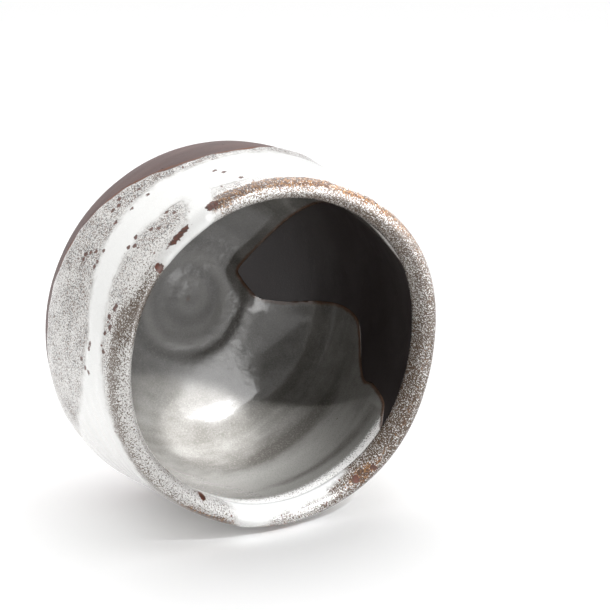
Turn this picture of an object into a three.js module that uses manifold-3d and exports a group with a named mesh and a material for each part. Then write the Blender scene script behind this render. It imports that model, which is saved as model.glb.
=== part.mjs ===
// A hand-thrown matcha bowl: a dark stoneware wall on a turned foot ring, under three poured glazes.
// Millimetres, +Z up. The origin is the centre of the foot's underside.
import * as THREE from 'three';
import { mergeVertices } from 'three/addons/utils/BufferGeometryUtils.js';
import Module from 'manifold-3d';

// ---- Driving dimensions ----
const BELLY_RADIUS = 59.7;
const BELLY_HEIGHT = 39;
const LIP_RADIUS = 54.2;
const LIP_HEIGHT = 81.4;
const WALL_THICKNESS = 4.4;
const FLOOR_TOP = 11;
const UNDERSIDE_HEIGHT = 6.8;
const UNDERSIDE_RADIUS = 31;
const CENTRE_NIPPLE = { radius: 20, height: 5.2 };
const FOOT = { outer: 29.5, inner: 23, taper: 1.2, chamfer: 0.7 };

const GAP = 0.3;
const POUR_GAP = 0.45;
const COAT_THICKNESS = 0.7;
const POUR_THICKNESS = 0.5;

// How far inside the lip the outer coat ends and the inner coat begins, along the wall.
const RIM_BAND = 8.4;
const LINING_START = 9.2;

const TURNS = 40;
const COLUMN_STEP = 360 / TURNS;
const FINE_STEP = 3;
const POUR_SPAN = 76.5;

// The rim's uneven sway in plan and its dips in height: the number of lobes round the rim,
// how far each wave moves the lip, and the angle of its first crest.
const RIM_SWAY = [
  { lobes: 2, amount: 0.9, crest: -4 },
  { lobes: 3, amount: 0.5, crest: 23 },
  { lobes: 4, amount: 0.4, crest: -40 },
];
const RIM_DIP = [
  { lobes: 2, amount: 0.9, crest: 61 },
  { lobes: 3, amount: 0.5, crest: 34 },
  { lobes: 5, amount: 0.7, crest: 33 },
];
const SWAY_FADE = 1.2;
const DIP_START = 47;

// ---- Edges of the coats, as [angle, distance along the wall from the lip] ----
// Distances are negative outside the bowl and positive inside it.
const DIP_LINE = [
  [-180, -37], [-150, -36], [-125, -41], [-98, -46], [-70, -38], [-48, -33.5], [-30, -37.4],
  [-11, -45.4], [12, -48.3], [40, -47.5], [70, -50], [110, -47], [150, -40], [180, -37],
];
const POUR_FOOT_EDGE = [
  [-75, -18], [-58, -29.5], [-37, -29], [-24, -30.5], [-8, -28.5], [10, -22], [24, -18.4],
  [40, -22], [60, -38], [75, -32],
];
const POUR_RIM_EDGE = [
  [-75, -6], [-55, -7.2], [-40, -9.4], [-30, -13.9], [-11, -15.3], [4, -15], [20, -9.7], [45, -6.5],
  [75, -9],
];
const RUNNER = { from: -34, to: -22, start: -18, end: 1.6, inset: 0.05 };
const WINDOW = {
  from: -190,
  lowerFrom: -154,
  to: -105,
  rimEdge: [[-190, 6], [-122, 6], [-115, 10], [-111, 20], [-105, 34]],
  upperFloorEdge: [[-190, 7.5], [-178, 13], [-174, 31], [-162, 43], [-154, 52], [-105, 52]],
  lowerFloorEdge: [[-154, 84], [-138, 89], [-124, 91.5], [-116, 81], [-110, 67], [-105, 52]],
  overlap: 42,
};

// ---- The wall's outline, foot to lip to the middle of the floor ----
const OUTSIDE = [
  [UNDERSIDE_RADIUS, UNDERSIDE_HEIGHT],
  [42, 9.9],
  [50.4, 16],
  [57.2, 27.1],
  [BELLY_RADIUS, BELLY_HEIGHT],
  [58.9, 49.5],
  [57.8, 60.7],
  [57.1, 71.4],
  [56.5, 77.3],
  [55.7, 80.1],
];
const LIP = [[LIP_RADIUS, LIP_HEIGHT], [52.7, 80.4]];
const INSIDE = [
  [51.6, 77.6],
  [57.1 - WALL_THICKNESS - 0.8, 72],
  [57.8 - WALL_THICKNESS, 60.7],
  [58.9 - WALL_THICKNESS, 49.5],
  [54.1, 38.3],
  [50.6, 26.5],
  [42.6, 17.3],
  [30.2, 12.7],
  [16, FLOOR_TOP + 0.2],
  [0, FLOOR_TOP],
];

const toPoint = ([radius, height]) => new THREE.Vector3(radius, 0, height);
const wall = new THREE.CatmullRomCurve3([...OUTSIDE, ...LIP, ...INSIDE].map(toPoint), false, 'centripetal');
wall.arcLengthDivisions = 1500;
const wallLength = wall.getLength();
const lipDistance = distanceToLip();
const floorDistance = wallLength - lipDistance;

function distanceToLip() {
  const points = wall.getSpacedPoints(wall.arcLengthDivisions);
  const heights = points.map((point) => point.z);
  return (wallLength * heights.indexOf(Math.max(...heights))) / wall.arcLengthDivisions;
}

// The outline's point at a distance along the wall from the lip, raised off the clay by a lift.
function outlinePoint(along, lift) {
  const share = THREE.MathUtils.clamp((lipDistance + along) / wallLength, 0, 1);
  const point = wall.getPointAt(share);
  const tangent = wall.getTangentAt(share);
  const radius = share === 1 ? 0 : Math.max(0, point.x + lift * tangent.z);
  return new THREE.Vector2(radius, point.z - lift * tangent.x);
}

function wave(lobes, degrees) {
  const total = lobes.map((lobe) => {
    const turn = THREE.MathUtils.degToRad(lobe.lobes * (degrees - lobe.crest));
    return lobe.amount * Math.cos(turn);
  });
  return total.reduce((sum, value) => sum + value, 0);
}

// A point of the true, uneven bowl, from its place on the even one.
function unevenPoint(radius, height, degrees) {
  const swayShare = THREE.MathUtils.clamp(height / LIP_HEIGHT, 0, 1) ** SWAY_FADE;
  const dipShare = THREE.MathUtils.clamp((height - DIP_START) / (LIP_HEIGHT - DIP_START), 0, 1);
  const swayed = radius * (1 + (swayShare * wave(RIM_SWAY, degrees)) / LIP_RADIUS);
  const turn = THREE.MathUtils.degToRad(degrees);
  return new THREE.Vector3(
    swayed * Math.cos(turn),
    swayed * Math.sin(turn),
    height + dipShare * wave(RIM_DIP, degrees),
  );
}

// A coat's edge as a smooth function of the angle.
function edgeOf(points) {
  return (degrees) => {
    const next = points.findIndex(([angle]) => angle >= degrees);
    if (next <= 0) return next === 0 ? points[0][1] : points[points.length - 1][1];
    const [fromAngle, from] = points[next - 1];
    const [toAngle, to] = points[next];
    return THREE.MathUtils.lerp(from, to, THREE.MathUtils.smoothstep(degrees, fromAngle, toAngle));
  };
}

// ---- Solids ----

// A full turn of a closed outline, made uneven as the bowl is.
function turned(outline) {
  const geometry = new THREE.LatheGeometry(outline, TURNS).rotateX(Math.PI / 2);
  const position = geometry.getAttribute('position');
  for (let i = 0; i < position.count; i += 1) {
    const x = position.getX(i);
    const y = position.getY(i);
    const degrees = THREE.MathUtils.radToDeg(Math.atan2(y, x));
    const point = unevenPoint(Math.hypot(x, y), position.getZ(i), degrees);
    position.setXYZ(i, point.x, point.y, point.z);
  }
  geometry.deleteAttribute('uv');
  geometry.deleteAttribute('normal');
  return mergeVertices(geometry, 1e-3);
}

// Equal steps from one distance up to, but not including, another.
function steps(from, to, count) {
  return Array.from({ length: count }, (_, k) => THREE.MathUtils.lerp(from, to, k / count));
}

// A coat over a range of angles, through the rows that rowsAt gives for each angle, as distances
// from the lip. A range of a full turn closes on itself.
function coat({ from, to, step, rowsAt, lift, thickness }) {
  const fullTurn = to - from === 360;
  const columns = Math.round((to - from) / step) + (fullTurn ? 0 : 1);
  const rows = rowsAt(from).length - 1;
  const loop = 2 * (rows + 1);
  const vertices = [];
  for (let column = 0; column < columns; column += 1) {
    const degrees = from + column * step;
    const distances = rowsAt(degrees);
    const spots = [
      ...distances.map((along) => outlinePoint(along, lift + thickness)),
      ...distances.map((along) => outlinePoint(along, lift)).reverse(),
    ];
    spots.forEach((spot) => vertices.push(...unevenPoint(spot.x, spot.y, degrees)));
  }
  const index = [];
  const corner = (column, k) => (column % columns) * loop + (k % loop);
  const quad = (a, b, c, d) => index.push(a, b, d, b, c, d);
  for (let column = 0; column < columns - (fullTurn ? 0 : 1); column += 1) {
    for (let k = 0; k < loop; k += 1) {
      quad(corner(column, k), corner(column + 1, k), corner(column + 1, k + 1), corner(column, k + 1));
    }
  }
  if (!fullTurn) {
    const last = columns - 1;
    for (let k = 0; k < rows; k += 1) {
      quad(corner(0, k), corner(0, k + 1), corner(0, loop - 2 - k), corner(0, loop - 1 - k));
      quad(corner(last, loop - 1 - k), corner(last, loop - 2 - k), corner(last, k + 1), corner(last, k));
    }
  }
  const geometry = new THREE.BufferGeometry();
  geometry.setAttribute('position', new THREE.Float32BufferAttribute(vertices, 3));
  geometry.setIndex(index);
  return geometry;
}

// Distances from the lip, close together where the wall bends most.
function wallRows(from, to) {
  const spacingAt = (along) => {
    if (Math.abs(along) < 5) return 1.2;
    if (Math.abs(along) < 15) return 2.3;
    return Math.abs(Math.abs(along) - 64) < 16 ? 4.6 : 7.5;
  };
  const rows = [from];
  while (rows[rows.length - 1] < to) {
    const along = rows[rows.length - 1];
    rows.push(along + spacingAt(along));
  }
  rows[rows.length - 1] = to;
  return rows;
}

function clayBody() {
  const underside = [
    new THREE.Vector2(0, CENTRE_NIPPLE.height),
    new THREE.Vector2(CENTRE_NIPPLE.radius * 0.4, CENTRE_NIPPLE.height + 0.5),
    new THREE.Vector2(CENTRE_NIPPLE.radius, UNDERSIDE_HEIGHT),
  ];
  const thrown = wallRows(-lipDistance, floorDistance).map((along) => outlinePoint(along, 0));
  return turned([...underside, ...thrown]);
}

function footRing() {
  const top = UNDERSIDE_HEIGHT - GAP;
  const { outer, inner, taper, chamfer } = FOOT;
  const outline = [
    [inner + 0.4, top],
    [inner, chamfer],
    [inner + chamfer, 0],
    [outer - taper - chamfer, 0],
    [outer - taper, chamfer],
    [outer, top],
    [inner + 0.4, top],
  ];
  return turned(outline.map(([radius, height]) => new THREE.Vector2(radius, height)));
}

// The coats' manifold-3d solids, so that one can be cut by another.
const wasm = await Module();
wasm.setup();

function solidOf(geometry) {
  const faces = [];
  const corners = geometry.getIndex().array;
  for (let i = 0; i < corners.length; i += 3) {
    const [a, b, c] = corners.slice(i, i + 3);
    if (a !== b && b !== c && c !== a) faces.push(a, b, c);
  }
  return new wasm.Manifold(
    new wasm.Mesh({
      numProp: 3,
      vertProperties: new Float32Array(geometry.getAttribute('position').array),
      triVerts: new Uint32Array(faces),
    }),
  );
}

function geometryOf(solid) {
  const mesh = solid.getMesh();
  const geometry = new THREE.BufferGeometry();
  geometry.setAttribute('position', new THREE.BufferAttribute(mesh.vertProperties, 3));
  geometry.setIndex(new THREE.BufferAttribute(mesh.triVerts, 1));
  return geometry;
}

// The glossy lining of the hollow, with the bare window that the pour missed cut out of it.
function innerGlaze() {
  const rows = wallRows(LINING_START, floorDistance);
  const top = rows.map((along) => outlinePoint(along, GAP + COAT_THICKNESS));
  const under = rows.map((along) => outlinePoint(along, GAP));
  const lining = turned([...under.reverse(), ...top]);
  const cut = (from, rimEdge, floorEdge) => {
    const step = (WINDOW.to - from) / Math.round((WINDOW.to - from) / FINE_STEP);
    const rowsAt = (degrees) => [...steps(rimEdge(degrees), floorEdge(degrees), 11), floorEdge(degrees)];
    return solidOf(coat({ from, to: WINDOW.to, step, rowsAt, lift: -1, thickness: 4 }));
  };
  const upper = cut(WINDOW.from, edgeOf(WINDOW.rimEdge), edgeOf(WINDOW.upperFloorEdge));
  const lower = cut(WINDOW.lowerFrom, () => WINDOW.overlap, edgeOf(WINDOW.lowerFloorEdge));
  return geometryOf(solidOf(lining).subtract(upper.add(lower)));
}

// The speckled coat that the bowl was dipped in: up the outside, over the lip and a little way in.
function outerGlaze() {
  const dipLine = edgeOf(DIP_LINE);
  const lipRows = wallRows(-7, RIM_BAND);
  const rowsAt = (degrees) => [...steps(dipLine(degrees), -7, 6), ...lipRows];
  return coat({ from: -180, to: 180, step: COLUMN_STEP, rowsAt, lift: GAP, thickness: COAT_THICKNESS });
}

// The thick white glaze poured over the outer coat, with its runner over the lip.
function whiteGlazePour() {
  const footEdge = edgeOf(POUR_FOOT_EDGE);
  const rimEdge = edgeOf(POUR_RIM_EDGE);
  const lift = GAP + COAT_THICKNESS + POUR_GAP;
  const pour = coat({
    from: -POUR_SPAN,
    to: POUR_SPAN,
    step: COLUMN_STEP / 2,
    rowsAt: (degrees) => [...steps(footEdge(degrees), rimEdge(degrees), 9), rimEdge(degrees)],
    lift,
    thickness: POUR_THICKNESS,
  });
  const runner = coat({
    from: RUNNER.from,
    to: RUNNER.to,
    step: FINE_STEP,
    rowsAt: () => [...steps(RUNNER.start, RUNNER.end, 16), RUNNER.end],
    lift: lift + RUNNER.inset,
    thickness: POUR_THICKNESS - 2 * RUNNER.inset,
  });
  return geometryOf(solidOf(pour).add(solidOf(runner)));
}

// ---- The bowl ----
const MATERIALS = {
  stoneware: { color: '#5c4a46', roughness: 0.62 },
  greyGlaze: { color: '#77756f', roughness: 0.14 },
  speckledGlaze: { color: '#b3afa6', roughness: 0.26 },
  whiteGlaze: { color: '#e6e4de', roughness: 0.2 },
};

const PIECES = [
  { name: 'clay_body', material: 'stoneware', make: clayBody },
  { name: 'foot_ring', material: 'stoneware', make: footRing },
  { name: 'inner_glaze', material: 'greyGlaze', make: innerGlaze },
  { name: 'outer_glaze', material: 'speckledGlaze', make: outerGlaze },
  { name: 'white_glaze_pour', material: 'whiteGlaze', make: whiteGlazePour },
];

const bowl = new THREE.Group();
for (const { name, material, make } of PIECES) {
  const mesh = new THREE.Mesh(make(), new THREE.MeshStandardMaterial({ ...MATERIALS[material], metalness: 0 }));
  mesh.name = name;
  bowl.add(mesh);
}

export default bowl;
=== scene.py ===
import math

import bmesh
import bpy
import numpy as np
from bpy.props import FloatProperty, FloatVectorProperty, IntProperty, PointerProperty
from mathutils import Matrix, Vector, noise


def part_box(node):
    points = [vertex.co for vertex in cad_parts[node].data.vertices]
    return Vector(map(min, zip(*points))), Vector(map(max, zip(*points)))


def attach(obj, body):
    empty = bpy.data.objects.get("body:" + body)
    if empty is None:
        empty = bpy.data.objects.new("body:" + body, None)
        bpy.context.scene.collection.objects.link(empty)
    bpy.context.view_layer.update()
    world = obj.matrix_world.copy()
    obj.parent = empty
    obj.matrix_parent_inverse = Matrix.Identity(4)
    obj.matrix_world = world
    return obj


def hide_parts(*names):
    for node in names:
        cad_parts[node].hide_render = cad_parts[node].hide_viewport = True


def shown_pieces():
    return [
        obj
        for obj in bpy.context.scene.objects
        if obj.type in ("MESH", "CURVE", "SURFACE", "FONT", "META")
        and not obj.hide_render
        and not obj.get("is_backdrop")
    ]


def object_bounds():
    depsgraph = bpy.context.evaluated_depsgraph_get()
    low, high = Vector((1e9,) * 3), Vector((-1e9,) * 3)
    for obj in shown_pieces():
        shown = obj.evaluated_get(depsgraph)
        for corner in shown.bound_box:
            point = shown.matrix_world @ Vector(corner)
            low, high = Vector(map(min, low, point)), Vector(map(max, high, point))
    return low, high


bl_info = {
    "name": "Matcha Bowl Workshop",
    "version": (1, 0, 0),
    "blender": (4, 5, 0),
    "location": "3D View > Sidebar > Matcha Bowl",
    "description": "Builds a hand-thrown matcha bowl, its foot and its three glazes, and lays it on a table",
    "category": "Add Mesh",
}

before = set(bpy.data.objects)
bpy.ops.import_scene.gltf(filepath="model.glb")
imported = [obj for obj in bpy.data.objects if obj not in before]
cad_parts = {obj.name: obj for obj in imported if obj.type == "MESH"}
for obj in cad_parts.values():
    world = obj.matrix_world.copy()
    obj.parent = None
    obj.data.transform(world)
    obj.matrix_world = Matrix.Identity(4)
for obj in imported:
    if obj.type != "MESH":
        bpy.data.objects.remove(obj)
CAD_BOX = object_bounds()
MM = 0.001


# ---------------------------------------------------------------- the drawing

# The clay wall's outline, radius and height in mm, drawn for a bowl of this belly and this rim.
DRAWN_BELLY = 59.9
DRAWN_RIM = 83.0
WALL_OUTLINE = [
    (31.0, 6.8), (42.0, 9.9), (50.4, 16.0), (57.2, 27.1), (59.7, 39.0), (58.9, 49.5), (57.8, 60.7),
    (57.1, 71.4), (56.5, 77.3), (55.7, 80.1), (54.2, 81.4), (52.7, 80.4), (51.6, 77.6), (51.9, 72.0),
    (53.4, 60.7), (54.5, 49.5), (54.1, 38.3), (50.6, 26.5), (42.6, 17.3), (30.2, 12.7), (16.0, 11.2),
    (0.0, 11.0),
]
UNDERSIDE = [(0.0, 5.2), (8.0, 5.7), (20.0, 6.8)]

# The rim's sway in plan and dips in height: lobes round the rim, mm at the lip, angle of a crest.
RIM_SWAY = [(2, 0.9, -4), (3, 0.5, 23), (4, 0.4, -40)]
RIM_DIP = [(2, 0.9, 61), (3, 0.5, 34), (5, 0.7, 33)]
SWAY_FADE = 1.2
DIP_START = 0.575
CREST_RADIUS = 54.2
LIP_RADIUS = 55.0

# Places on the wall are (turn, along): degrees round the bowl, and mm along the wall from the lip,
# negative outside the bowl and positive inside it.
RIM_BAND = 8.2
DIP_LINE = [
    (-180, -37), (-150, -36), (-125, -41), (-98, -46), (-69, -37.7), (-60, -34.6), (-52, -33.5),
    (-45, -34), (-38, -35), (-30, -37.6), (-21, -41.5), (-11, -45.4), (6, -48.3), (20, -48), (40, -47.5),
    (70, -50), (110, -47), (150, -40), (180, -37),
]
WINDOW = [
    (-106, 40), (-109, 31), (-110.5, 26), (-113, 20), (-116, 12), (-123, 8.6), (-140, 7), (-160, 7),
    (-178, 7.6), (-186, 7.8), (-182, 11), (-178, 14), (-175.5, 20), (-174, 27), (-174.5, 32), (-170, 37.5),
    (-163, 41.5), (-155.5, 45.5), (-152.5, 53), (-153, 64), (-155.5, 76), (-154, 85), (-146, 89),
    (-134, 91.6), (-124, 91.5), (-117, 83), (-112.5, 72), (-109, 61), (-106.5, 50),
]
POUR_BAND = [
    (-118, -30), (-95, -32), (-75, -31), (-58, -29.5), (-42, -28.8), (-28, -30.6), (-15, -29.6),
    (-2, -27.6), (8, -24), (16, -20.8), (23, -18.6), (33, -20), (44, -25), (54, -33), (64, -42), (74, -45),
    (82, -36), (80, -20), (72, -9), (58, -5.5), (46, -6.4), (36, -8), (26, -9.4), (18, -10.4), (11, -13),
    (2, -15), (-10, -15.3), (-24, -14.9), (-40, -9.6), (-50, -7.6), (-62, -5.2), (-75, -4.2), (-95, -4.4),
    (-112, -7), (-122, -18),
]
POUR_RUNNER = [
    (-42, -18), (-36, -11.5), (-33, -6), (-31, -1.9), (-28.6, 1.4), (-26, 3.4), (-16, 4.4), (-8, 2.6),
    (-9, -0.6), (-15, -1.2), (-21, -1.6), (-24, -4), (-26.5, -8), (-28, -13), (-27, -18),
]
POUR_DRIP = [(101, 6), (104, 1), (107, -4.5), (110, -5.5), (113, -2), (119, 1.5), (132, 3), (146, 4.5),
             (152, 7), (140, 9), (118, 9)]

# Iron-red marks in the glaze: turn, along, half length along the turn, half width, tilt in degrees.
IRON_MARKS = [
    (-17.8, -1.2, 4.9, 0.75, 2), (-6.6, 0.2, 1.5, 1.1, 30), (-31.6, -2.3, 2.4, 1.2, 10),
    (71.0, 4.8, 1.0, 2.4, 0), (88.2, 3.4, 1.6, 2.0, 15), (80.0, 4.6, 1.3, 0.3, -25),
    (153.5, 1.6, 1.5, 1.1, 20), (160.5, 0.8, 1.2, 0.8, -30),
]

# Small iron flecks, strewn in loose groups: turn and distance along of a group's middle, its reach
# in degrees and in mm, and how many it has.
FLECK_GROUPS = [(-16, -34, 8, 5, 7), (0, -31, 4, 5, 7), (-15, -12, 11, 4, 7), (18, -8.5, 9, 1.5, 7),
                (29, -19, 7, 6, 5), (-45, -15, 4, 9, 3)]
FLECK_SIZE = 0.80
FLECK_SEED = 5

# The trimming tool's ripple under the floor: height in mm, radians in a mm, and how far out it goes.
RIPPLE, RIPPLE_TURNS, RIPPLE_REACH = 0.12, 2.6, 22

# What a depth is taken as, in mm, far outside a region or a mark.
FAR_OUTSIDE = -20.0
# How far the underside of a coat sinks into the clay, and how far the pour's stands off it.
COAT_SINK = -0.35
POUR_UNDERSIDE = 0.1
# The stretch of the wall near the window: its middle turn, reach in degrees, and last distance along.
WINDOW_STRETCH = (-147, 55, 100)


def shade(red, green, blue):
    """A colour given in 0 to 255 display values, as linear values."""
    return tuple((c / 255 / 12.92) if c < 10.3 else ((c / 255 + 0.055) / 1.055) ** 2.4
                 for c in (red, green, blue))


def rounded(corners, per_span=40):
    """A smooth centripetal curve through the corners, as an array of points."""
    points = np.array(corners, float)
    points = np.vstack([2 * points[0] - points[1], points, 2 * points[-1] - points[-2]])
    curve = []
    for p0, p1, p2, p3 in zip(points, points[1:], points[2:], points[3:]):
        t0 = 0.0
        t1 = t0 + np.linalg.norm(p1 - p0) ** 0.5
        t2 = t1 + np.linalg.norm(p2 - p1) ** 0.5
        t3 = t2 + np.linalg.norm(p3 - p2) ** 0.5
        t = np.linspace(t1, t2, per_span, endpoint=False)[:, None]
        a1 = (t1 - t) / (t1 - t0) * p0 + (t - t0) / (t1 - t0) * p1
        a2 = (t2 - t) / (t2 - t1) * p1 + (t - t1) / (t2 - t1) * p2
        a3 = (t3 - t) / (t3 - t2) * p2 + (t - t2) / (t3 - t2) * p3
        b1 = (t2 - t) / (t2 - t0) * a1 + (t - t0) / (t2 - t0) * a2
        b2 = (t3 - t) / (t3 - t1) * a2 + (t - t1) / (t3 - t1) * a3
        curve.append((t2 - t) / (t2 - t1) * b1 + (t - t1) / (t2 - t1) * b2)
    curve.append(points[-2][None])
    return np.vstack(curve)


def smoothstep(values, low, high):
    share = np.clip((values - low) / (high - low), 0, 1)
    return share * share * (3 - 2 * share)


class Wall:
    """The clay wall's surface: a turned outline made uneven as a thrown bowl is."""

    def __init__(self):
        low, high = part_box("clay_body")
        self.belly = (high.x - low.x) / 2 / MM
        self.rim = high.z / MM
        stretch = np.array([self.belly / DRAWN_BELLY, self.rim / DRAWN_RIM])
        self.points = rounded(WALL_OUTLINE) * stretch
        self.underside = rounded(UNDERSIDE, 12) * stretch
        travelled = np.concatenate([[0], np.cumsum(np.hypot(*np.diff(self.points, axis=0).T))])
        self.along = travelled - travelled[np.argmax(self.points[:, 1])]
        tangent = np.gradient(self.points, self.along, axis=0)
        tangent /= np.linalg.norm(tangent, axis=1)[:, None]
        self.outward = np.stack([tangent[:, 1], -tangent[:, 0]], 1)
        self.start, self.end = self.along[0], self.along[-1]

    def at(self, along, lift=0.0):
        """Radius and height in mm at a distance from the lip, raised off the outline by a lift."""
        read = [np.interp(along, self.along, column) for column in (*self.points.T, *self.outward.T)]
        radius = np.where(along >= self.end, 0.0, np.maximum(read[0] + lift * read[2], 0.0))
        return radius, read[1] + lift * read[3]

    def uneven(self, radius, height, turn):
        """The place in metres of a point of the even bowl, once the rim sways and dips."""
        def wave(lobes):
            return sum(amount * np.cos(np.radians(count * (turn - crest))) for count, amount, crest in lobes)
        sway = np.clip(height / self.rim, 0, 1) ** SWAY_FADE
        dip = np.clip((height / self.rim - DIP_START) / (1 - DIP_START), 0, 1)
        radius = radius * (1 + sway * wave(RIM_SWAY) / CREST_RADIUS)
        angle = np.radians(turn)
        height = height + dip * wave(RIM_DIP)
        return np.stack([radius * np.cos(angle), radius * np.sin(angle), height], -1) * MM

    def place(self, turn, along, lift=0.0):
        radius, height = self.at(along, lift)
        return self.uneven(radius, height, turn)


wall = Wall()


def clouds(places, size, seed=0.0):
    """Smooth noise from -1 to 1 at places in metres, with blobs of a size in mm."""
    scale = 1 / (size * MM)
    return np.array([noise.noise(Vector(p) * scale + Vector((seed, seed * 0.7, -seed))) for p in places])


# ---------------------------------------------------------------- relief of the clay

def ring_relief(turn, along, places):
    """Throwing rings, in mm: low ridges outside, fainter ones inside, and a spiral on the floor."""
    wander = clouds(places, 26, 3.0)
    outside = 0.05 * np.sin(2 * np.pi * (along / 5.6 + 0.5 * wander))
    climb = turn / 360
    inside = 0.018 * np.sin(2 * np.pi * (along / 12.5 + 0.25 * wander + climb))
    inside += 0.006 * np.sin(2 * np.pi * (along / 5.2 - climb + 0.4 * wander))
    radius = wall.at(along)[0]
    pool = np.exp(-((radius - 20.5 - 1.5 * wander) / 1.8) ** 2)
    spiral = np.sin(2 * np.pi * (radius / 6.5 + climb)) * smoothstep(radius, 0, 3)
    floor = 0.012 * spiral + 0.05 * pool
    on_floor = 1 - smoothstep(radius, 22, 30)
    in_hollow = smoothstep(along, 6, 14)
    below_lip = smoothstep(np.abs(along), 3, 12)
    relief = (1 - in_hollow) * outside + in_hollow * ((1 - on_floor) * inside + on_floor * floor)
    return relief * below_lip


def clay_lift(turn, along, places):
    """How far the finished clay stands off the drawn outline, in mm."""
    foot_fade = smoothstep(along, wall.start, wall.start + 16)
    knocks = 0.06 * clouds(places, 16, 8.0)
    return foot_fade * (0.4 + ring_relief(turn, along, places) + knocks)


# ---------------------------------------------------------------- regions on the wall

class Region:
    """A closed, rounded outline on the wall, with the distance to its edge in mm."""

    def __init__(self, corners, per_span=8):
        closed = corners[-1:] + corners + corners[:2]
        self.edge = rounded(closed, per_span)[per_span:-per_span - 1]
        self.middle = self.edge[:, 0].mean()

    def depth(self, turn, along):
        """Distance in mm to the edge, positive inside the region."""
        turn = (turn - self.middle + 180) % 360 + self.middle - 180
        start, end = self.edge, np.roll(self.edge, -1, axis=0)
        crossings = np.zeros(turn.shape, int)
        for (t0, a0), (t1, a1) in zip(start, end):
            if t0 == t1:
                continue
            between = (t0 > turn) != (t1 > turn)
            level = a0 + (a1 - a0) * (turn - t0) / (t1 - t0)
            crossings += between & (along < level)
        places = wall.place(turn, along) / MM
        first = wall.place(start[:, 0], start[:, 1]) / MM
        last = wall.place(end[:, 0], end[:, 1]) / MM
        nearest = np.full(turn.shape, 1e9)
        for a, b in zip(first, last):
            span = b - a
            share = np.clip(((places - a) @ span) / max(span @ span, 1e-9), 0, 1)
            gap = places - a - share[:, None] * span
            nearest = np.minimum(nearest, (gap * gap).sum(1))
        return np.where(crossings % 2 == 1, 1, -1) * np.sqrt(nearest)


REGIONS = {
    "window": Region(WINDOW),
    "band": Region(POUR_BAND),
    "runner": Region(POUR_RUNNER),
    "drip": Region(POUR_DRIP),
}


def strewn_flecks():
    """The small iron flecks, in the form of the iron marks."""
    draws = np.random.default_rng(FLECK_SEED)
    flecks = []
    for middle, level, reach, spread, count in FLECK_GROUPS:
        for east, north in draws.uniform(-1, 1, (count, 2)):
            place = (middle + reach * east, level + spread * north)
            flecks.append((*place, FLECK_SIZE * 1.25, FLECK_SIZE, 90))
    return flecks


MARKS = IRON_MARKS + strewn_flecks()


def mark_depth(turn, along):
    """Depth in mm into the nearest iron mark or fleck, positive inside it."""
    deepest = np.full(turn.shape, FAR_OUTSIDE)
    for at_turn, at_along, half_length, half_width, tilt in MARKS:
        across = np.radians((turn - at_turn + 180) % 360 - 180) * LIP_RADIUS
        up = along - at_along
        c, s = math.cos(math.radians(tilt)), math.sin(math.radians(tilt))
        a, b = (across * c + up * s) / half_length, (-across * s + up * c) / half_width
        deepest = np.maximum(deepest, (1 - np.hypot(a, b)) * min(half_length, half_width))
    return deepest


def poured_depth(turn, along):
    """Depth in mm into the white pour's band, runner or drip."""
    return np.maximum.reduce([REGIONS[name].depth(turn, along) for name in ("band", "runner", "drip")])


def bump(values, middle, width):
    return np.exp(-((values - middle) / width) ** 2)


def near_turn(turn, middle, width):
    """One at a turn, falling smoothly to nothing beyond a width in degrees."""
    apart = (turn - middle + 180) % 360 - 180
    return np.exp(-(apart / width) ** 2)


def glaze_fields(turn, along, places, depth):
    """What the outer glaze does at each place, as named numbers for its material."""
    drift = clouds(places, 6, 1.0)
    wide = clouds(places, 18, 5.0)
    white = poured_depth(turn, along) + 0.9 * drift
    rim = smoothstep(along, -7, -3)
    right = near_turn(turn, 180, 62)
    crest = bump(along, -2.6, 2.3)
    golden = crest * (1.35 * near_turn(turn, -84, 52) + 0.5 * near_turn(turn, -48, 18)
                      + 0.9 * near_turn(turn, -33, 7) + 1.1 * near_turn(turn, 122, 12)
                      + 1.4 * near_turn(turn, 94, 14))
    golden += 0.45 * bump(along, 1.2, 1.4) * right
    golden += 0.55 * bump(along, RIM_BAND - 1.2, 0.9) * near_turn(turn, -95, 40)
    golden += 0.8 * bump(along, 1.8, 2.4) * near_turn(turn, 156, 7)
    brown = 0.55 * bump(along, -4.2, 3.0) * smoothstep(turn, 0, 14) * (1 - smoothstep(turn, 84, 100))
    brown += 0.7 * bump(along, 1.4, 2.6) * near_turn(turn, 6, 12)
    brown += rim * (0.30 + 0.45 * near_turn(turn, -80, 55) + 0.45 * right)
    grain = 0.60 + 0.12 * wide + 0.10 * drift
    grain -= 0.14 * bump(along, -34, 5) * near_turn(turn, -35, 22)
    grain += rim * (0.20 - 0.40 * right)
    return {
        "white": white,
        "golden": golden + 0.15 * drift,
        "brown": brown,
        "grain": grain,
        "mark": mark_depth(turn, along),
    }


# ---------------------------------------------------------------- meshes

def new_object(name, vertices, faces, fields=None):
    mesh = bpy.data.meshes.new(name)
    mesh.from_pydata([tuple(v) for v in vertices], [], faces)
    for field, values in (fields or {}).items():
        mesh.attributes.new(field, "FLOAT", "POINT").data.foreach_set("value", values.astype(np.float32))
    mesh.polygons.foreach_set("use_smooth", [True] * len(mesh.polygons))
    mesh.update()
    piece = bpy.data.objects.new(name, mesh)
    bpy.context.scene.collection.objects.link(piece)
    return piece


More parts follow.
